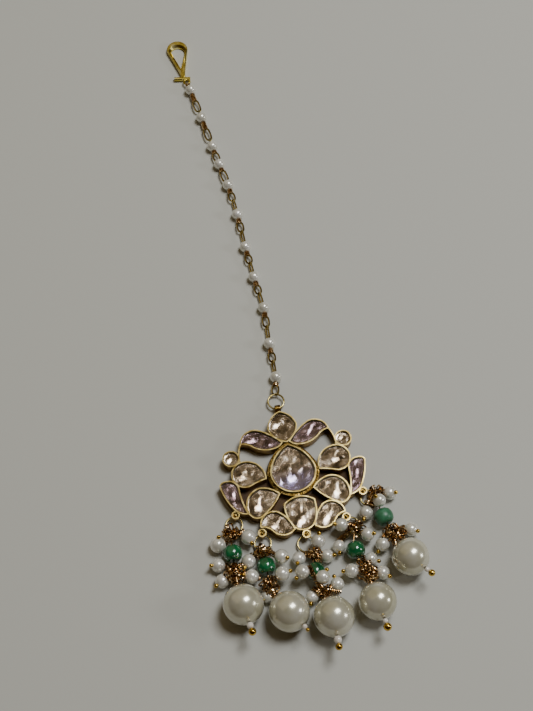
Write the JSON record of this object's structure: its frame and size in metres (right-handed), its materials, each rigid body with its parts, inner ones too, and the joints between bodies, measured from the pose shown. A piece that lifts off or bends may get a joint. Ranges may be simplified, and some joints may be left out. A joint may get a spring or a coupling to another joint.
{
  "type": "maang tikka",
  "caption": "Maang tikka lying flat: a pendant of foil-backed stones in gold bezels, pearl and green bead drops, a pearl chain and a hair hook.",
  "frame": {"origin": "on the flat back of the pendant, under its centre stone", "axes": "+Y from the pendant along the chain to the hair hook, +Z out of the stones' faces, +X to the right seen from the front"},
  "size_m": [0.0482, 0.175, 0.009],
  "materials": {
    "gold_metal": "polished, pale antique gold plate",
    "foiled_glass": "polished glass over crinkled foil",
    "pearl": "satin pearl lustre",
    "green_glass": "faceted, translucent"
  },
  "bodies": {
    "root": {"pendant_frame": "gold_metal", "stone_crown": "foiled_glass", "stone_shield": "foiled_glass", "stone_leaf_right": "foiled_glass", "stone_leaf_left": "foiled_glass", "stone_shoulder_right": "foiled_glass", "stone_shoulder_left": "foiled_glass", "stone_wing_right": "foiled_glass", "stone_wing_left": "foiled_glass", "stone_drop_right": "foiled_glass", "stone_drop_left": "foiled_glass", "stone_foot_right": "foiled_glass", "stone_foot_left": "foiled_glass", "stone_round_right": "foiled_glass", "stone_round_left": "foiled_glass", "stone_centre": "foiled_glass", "pendant_ring": "gold_metal", "pearl_chain": "gold_metal", "hair_hook": "gold_metal", "drop_a_ring": "gold_metal", "drop_a_upper_cluster": "gold_metal", "drop_a_green_bead": "green_glass", "drop_a_lower_cluster": "gold_metal", "drop_a_big_pearl": "pearl", "drop_a_seed_bead": "pearl", "drop_b_ring": "gold_metal", "drop_b_upper_cluster": "gold_metal", "drop_b_green_bead": "green_glass", "drop_b_lower_cluster": "gold_metal", "drop_b_big_pearl": "pearl", "drop_b_seed_bead": "pearl", "drop_c_ring": "gold_metal", "drop_c_upper_cluster": "gold_metal", "drop_c_green_bead": "green_glass", "drop_c_lower_cluster": "gold_metal", "drop_c_big_pearl": "pearl", "drop_c_seed_bead": "pearl", "drop_d_ring": "gold_metal", "drop_d_upper_cluster": "gold_metal", "drop_d_green_bead": "green_glass", "drop_d_lower_cluster": "gold_metal", "drop_d_big_pearl": "pearl", "drop_d_seed_bead": "pearl", "drop_e_ring": "gold_metal", "drop_e_upper_cluster": "gold_metal", "drop_e_green_bead": "green_glass", "drop_e_lower_cluster": "gold_metal", "drop_e_big_pearl": "pearl", "drop_e_seed_bead": "pearl"}
  },
  "joints": []
}
